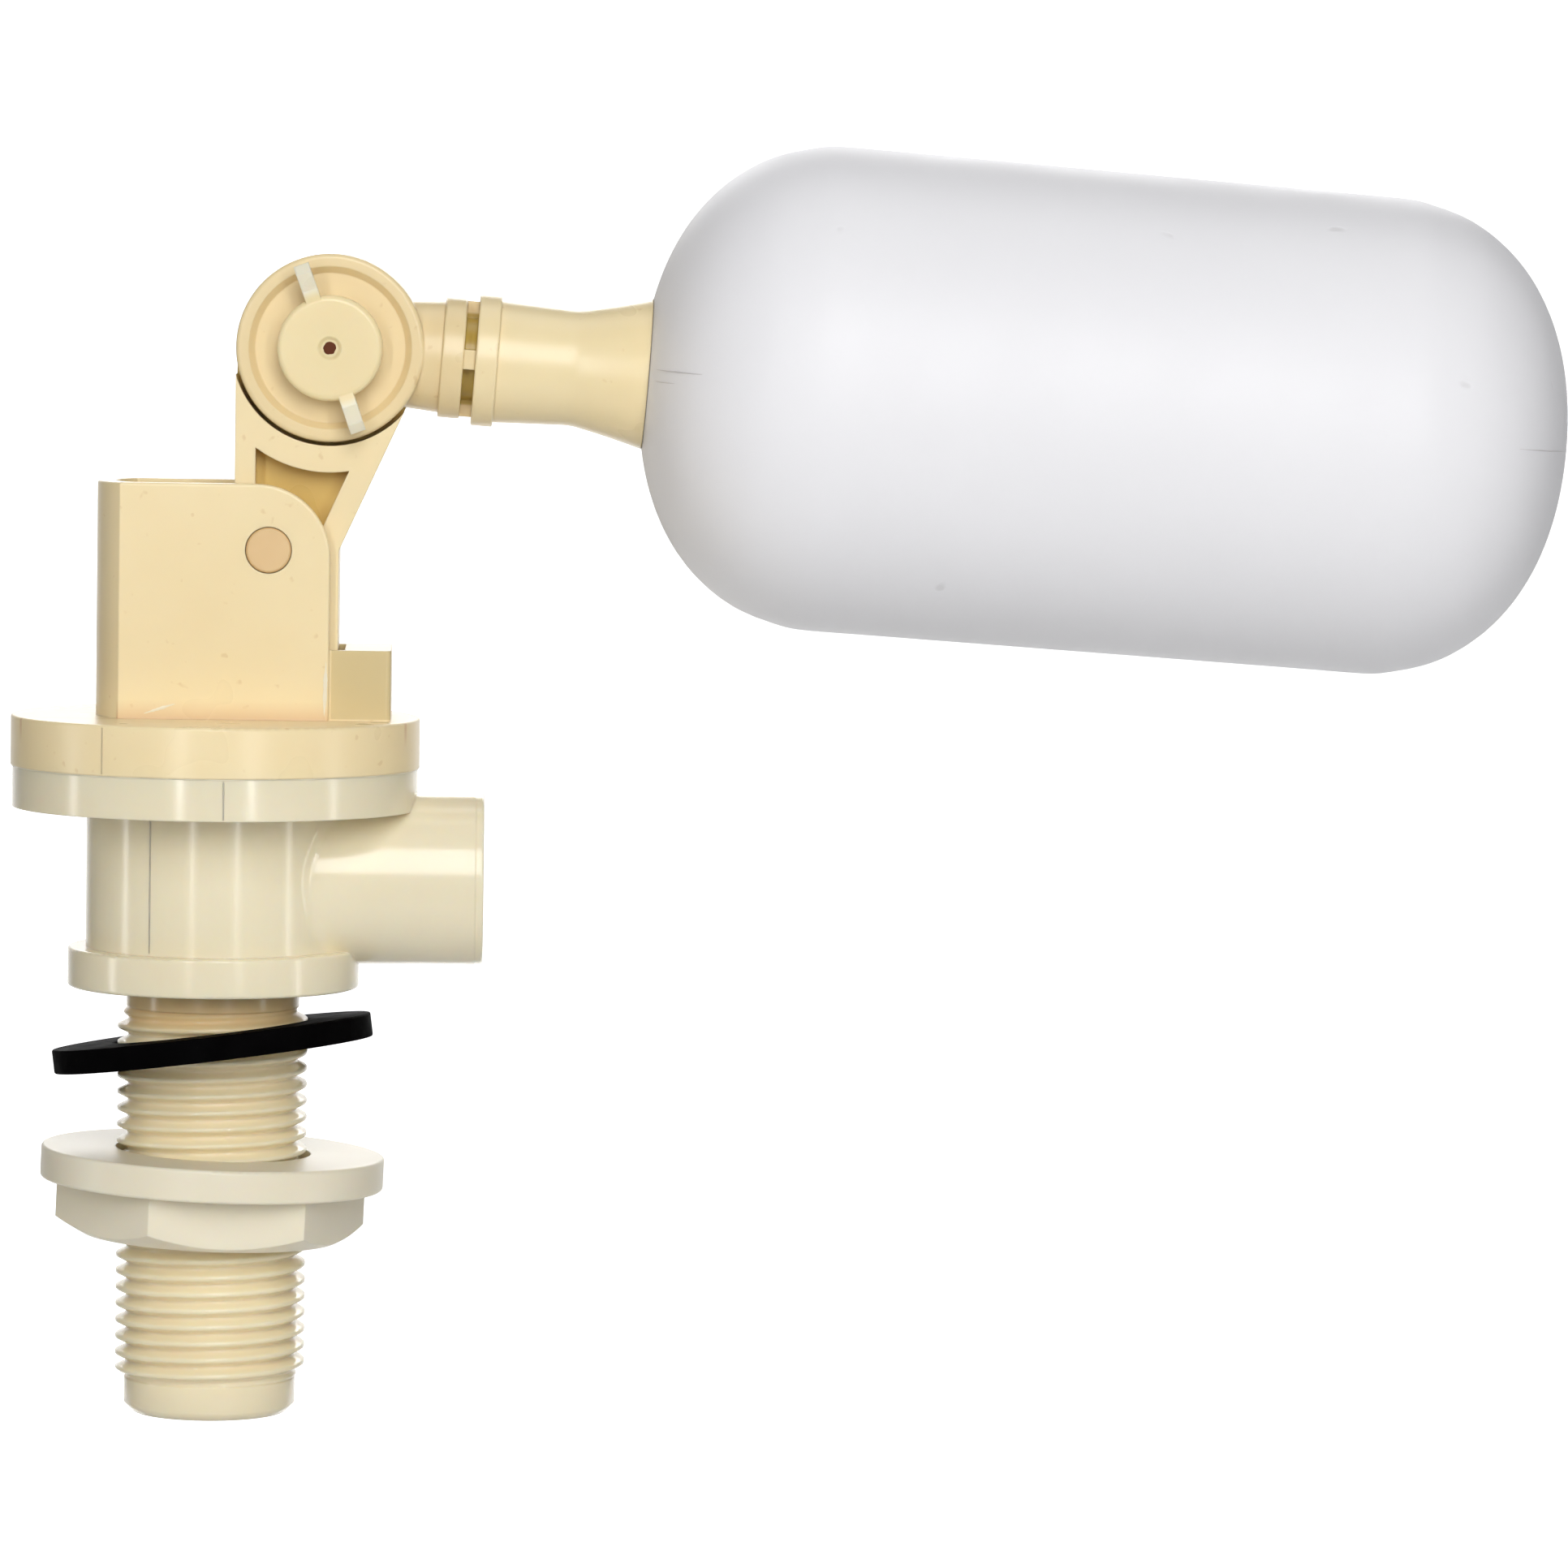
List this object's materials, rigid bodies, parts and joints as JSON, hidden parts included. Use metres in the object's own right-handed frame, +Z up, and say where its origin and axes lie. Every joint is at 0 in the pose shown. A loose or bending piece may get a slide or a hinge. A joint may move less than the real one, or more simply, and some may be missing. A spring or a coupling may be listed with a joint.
{
  "type": "float valve",
  "caption": "Plastic float valve with a threaded bottom inlet, side outlet, pilot lever and cylindrical float on an adjustable arm.",
  "frame": {"origin": "on the stem's axis at the underside of the body's lower flange, the face that clamps the tank wall", "axes": "+Z up along the stem, +X towards the outlet and the float, -Y the front with the wing nut"},
  "size_m": [0.1712, 0.0534, 0.1408],
  "materials": {
    "body_plastic": "satin moulded",
    "cream_plastic": "satin moulded",
    "nut_plastic": "satin moulded",
    "wing_plastic": "satin, slightly translucent",
    "float_plastic": "blow-moulded satin",
    "black_rubber": "matt",
    "pin_metal": "drawn",
    "brass": "turned",
    "inner_plastic": "moulded"
  },
  "bodies": {
    "valve": {"valve_body": "body_plastic", "valve_cover": "cream_plastic", "pilot_nozzle": "brass", "nozzle_o_ring": "black_rubber", "diaphragm": "black_rubber", "metering_pin": "pin_metal", "inlet_strainer": "inner_plastic"},
    "lever_set": {"lever": "cream_plastic", "pivot_pin": "cream_plastic", "pilot_pad": "black_rubber", "clamp_bolt": "brass"},
    "float_set": {"elbow": "cream_plastic", "float_arm": "cream_plastic", "float_shell": "float_plastic", "float_bung": "float_plastic"},
    "wing_nut": {"wing_nut": "wing_plastic"},
    "main_disc": {"valve_disc": "inner_plastic", "disc_guide": "inner_plastic"},
    "gasket": {"rubber_gasket": "black_rubber"},
    "locknut": {"locknut": "nut_plastic"}
  },
  "joints": [
    {"name": "lever_pivot", "type": "hinge", "parent": "valve", "child": "lever_set", "pos_m": [0.0058, 0, 0.0485], "axis": [0, 1, 0], "range_deg": [0, 14]},
    {"name": "elbow_adjust", "type": "hinge", "parent": "lever_set", "child": "float_set", "pos_m": [0.01225, 0, 0.0706], "axis": [0, 1, 0], "range_deg": [-90, 0]},
    {"name": "wing_nut_turn", "type": "hinge", "parent": "lever_set", "child": "wing_nut", "pos_m": [0.01225, 0, 0.0706], "axis": [0, 1, 0], "continuous": true},
    {"name": "main_disc_lift", "type": "slide", "parent": "valve", "child": "main_disc", "axis": [0, 0, 1], "range_m": [0, 0.0015], "deforming": ["diaphragm"]},
    {"name": "gasket_slide", "type": "slide", "parent": "valve", "child": "gasket", "axis": [0, 0, 1], "range_m": [-0.007, 0.0022]},
    {"name": "locknut_travel", "type": "slide", "parent": "valve", "child": "locknut", "axis": [0, 0, 1], "range_m": [-0.0155, 0.007]}
  ],
  "couplings": [
    {"joint": "main_disc_lift", "follows": "lever_pivot", "m_per_rad": 0.0061}
  ]
}
